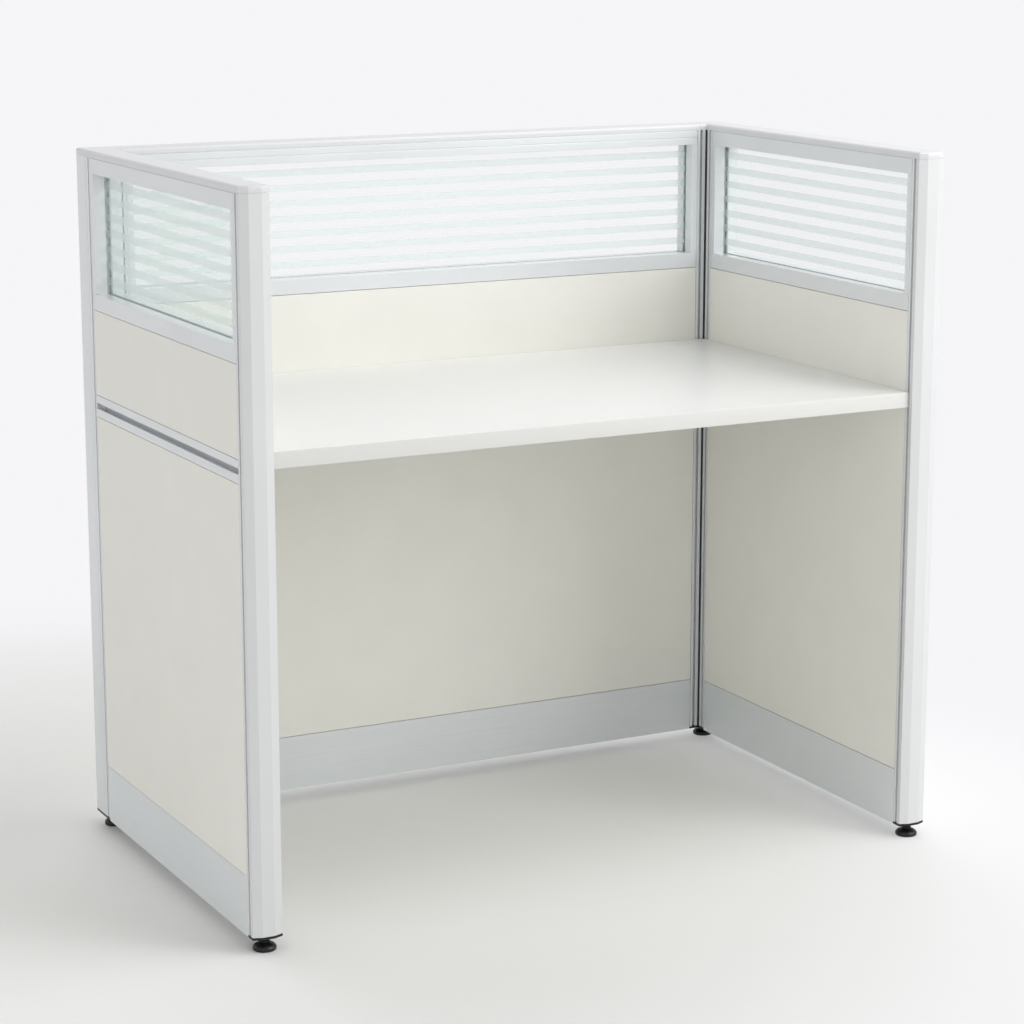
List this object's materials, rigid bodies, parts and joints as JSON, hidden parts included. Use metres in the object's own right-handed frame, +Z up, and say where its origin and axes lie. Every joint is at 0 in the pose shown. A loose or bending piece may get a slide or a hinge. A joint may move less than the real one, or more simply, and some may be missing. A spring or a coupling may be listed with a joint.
{
  "type": "cubicle workstation",
  "caption": "Three-sided cubicle workstation with a white worktop, cream tiles, striped glass windows, aluminium frame and screw-in levelling feet.",
  "frame": {"origin": "on the floor under the middle of the workstation", "axes": "+X to the right seen from the open front, -Y towards the person at the open front, +Z up"},
  "size_m": [1.2, 0.7, 1.134],
  "materials": {
    "frame_aluminium": "satin silver powder coat",
    "white_trim": "satin white powder coat",
    "skirting_aluminium": "satin anodised, blue-grey",
    "tile_laminate": "cream laminate on board, matte",
    "worktop_laminate": "white melamine on board, satin",
    "striped_glass": "clear glass with frosted stripes",
    "seal_rubber": "matte black",
    "black_plastic": "matte black",
    "black_steel": "black oxide",
    "zinc_steel": "zinc plated"
  },
  "bodies": {
    "frame": {"left_stiles": "frame_aluminium", "left_top_rail": "frame_aluminium", "left_sill_rail": "frame_aluminium", "left_glass": "striped_glass", "left_slotted_rail": "frame_aluminium", "left_outer_upper_tile": "tile_laminate", "left_inner_upper_tile": "tile_laminate", "left_outer_lower_tile": "tile_laminate", "left_inner_lower_tile": "tile_laminate", "left_base_rail": "frame_aluminium", "left_outer_skirting": "skirting_aluminium", "left_inner_skirting": "skirting_aluminium", "left_wall_cap": "white_trim", "rear_stiles": "frame_aluminium", "rear_top_rail": "frame_aluminium", "rear_sill_rail": "frame_aluminium", "rear_glass": "striped_glass", "rear_slotted_rail": "frame_aluminium", "rear_outer_upper_tile": "tile_laminate", "rear_inner_upper_tile": "tile_laminate", "rear_outer_lower_tile": "tile_laminate", "rear_inner_lower_tile": "tile_laminate", "rear_base_rail": "frame_aluminium", "rear_outer_skirting": "skirting_aluminium", "rear_inner_skirting": "skirting_aluminium", "rear_wall_cap": "white_trim", "right_stiles": "frame_aluminium", "right_top_rail": "frame_aluminium", "right_sill_rail": "frame_aluminium", "right_glass": "striped_glass", "right_slotted_rail": "frame_aluminium", "right_outer_upper_tile": "tile_laminate", "right_inner_upper_tile": "tile_laminate", "right_outer_lower_tile": "tile_laminate", "right_inner_lower_tile": "tile_laminate", "right_base_rail": "frame_aluminium", "right_outer_skirting": "skirting_aluminium", "right_inner_skirting": "skirting_aluminium", "right_wall_cap": "white_trim", "left_corner_post": "frame_aluminium", "right_corner_post": "frame_aluminium", "left_end_cover": "white_trim", "right_end_cover": "white_trim", "left_end_cap": "white_trim", "right_end_cap": "white_trim", "left_corner_cap": "white_trim", "right_corner_cap": "white_trim", "corner_seals": "seal_rubber", "base_plates": "black_plastic", "worktop": "worktop_laminate", "worktop_brackets": "zinc_steel", "bracket_screws": "zinc_steel"},
    "front_left_pad": {"front_left_foot_pad": "black_plastic"},
    "front_right_pad": {"front_right_foot_pad": "black_plastic"},
    "rear_left_pad": {"rear_left_foot_pad": "black_plastic"},
    "rear_right_pad": {"rear_right_foot_pad": "black_plastic"},
    "front_left_stem": {"front_left_foot_stem": "black_steel"},
    "front_right_stem": {"front_right_foot_stem": "black_steel"},
    "rear_left_stem": {"rear_left_foot_stem": "black_steel"},
    "rear_right_stem": {"rear_right_foot_stem": "black_steel"}
  },
  "joints": [
    {"name": "front_left_pad_travel", "type": "slide", "parent": "frame", "child": "front_left_pad", "axis": [0, 0, -1], "range_m": [-0.005, 0.015]},
    {"name": "front_left_stem_turn", "type": "hinge", "parent": "front_left_pad", "child": "front_left_stem", "pos_m": [-0.576, -0.331, 0.02], "axis": [0, 0, -1], "range_deg": [-1200, 3600]},
    {"name": "front_right_pad_travel", "type": "slide", "parent": "frame", "child": "front_right_pad", "axis": [0, 0, -1], "range_m": [-0.005, 0.015]},
    {"name": "front_right_stem_turn", "type": "hinge", "parent": "front_right_pad", "child": "front_right_stem", "pos_m": [0.576, -0.331, 0.02], "axis": [0, 0, -1], "range_deg": [-1200, 3600]},
    {"name": "rear_left_pad_travel", "type": "slide", "parent": "frame", "child": "rear_left_pad", "axis": [0, 0, -1], "range_m": [-0.005, 0.015]},
    {"name": "rear_left_stem_turn", "type": "hinge", "parent": "rear_left_pad", "child": "rear_left_stem", "pos_m": [-0.576, 0.326, 0.02], "axis": [0, 0, -1], "range_deg": [-1200, 3600]},
    {"name": "rear_right_pad_travel", "type": "slide", "parent": "frame", "child": "rear_right_pad", "axis": [0, 0, -1], "range_m": [-0.005, 0.015]},
    {"name": "rear_right_stem_turn", "type": "hinge", "parent": "rear_right_pad", "child": "rear_right_stem", "pos_m": [0.576, 0.326, 0.02], "axis": [0, 0, -1], "range_deg": [-1200, 3600]}
  ],
  "couplings": [
    {"joint": "front_left_stem_turn", "follows": "front_left_pad_travel", "rad_per_m": 4188.8},
    {"joint": "front_right_stem_turn", "follows": "front_right_pad_travel", "rad_per_m": 4188.8},
    {"joint": "rear_left_stem_turn", "follows": "rear_left_pad_travel", "rad_per_m": 4188.8},
    {"joint": "rear_right_stem_turn", "follows": "rear_right_pad_travel", "rad_per_m": 4188.8}
  ]
}
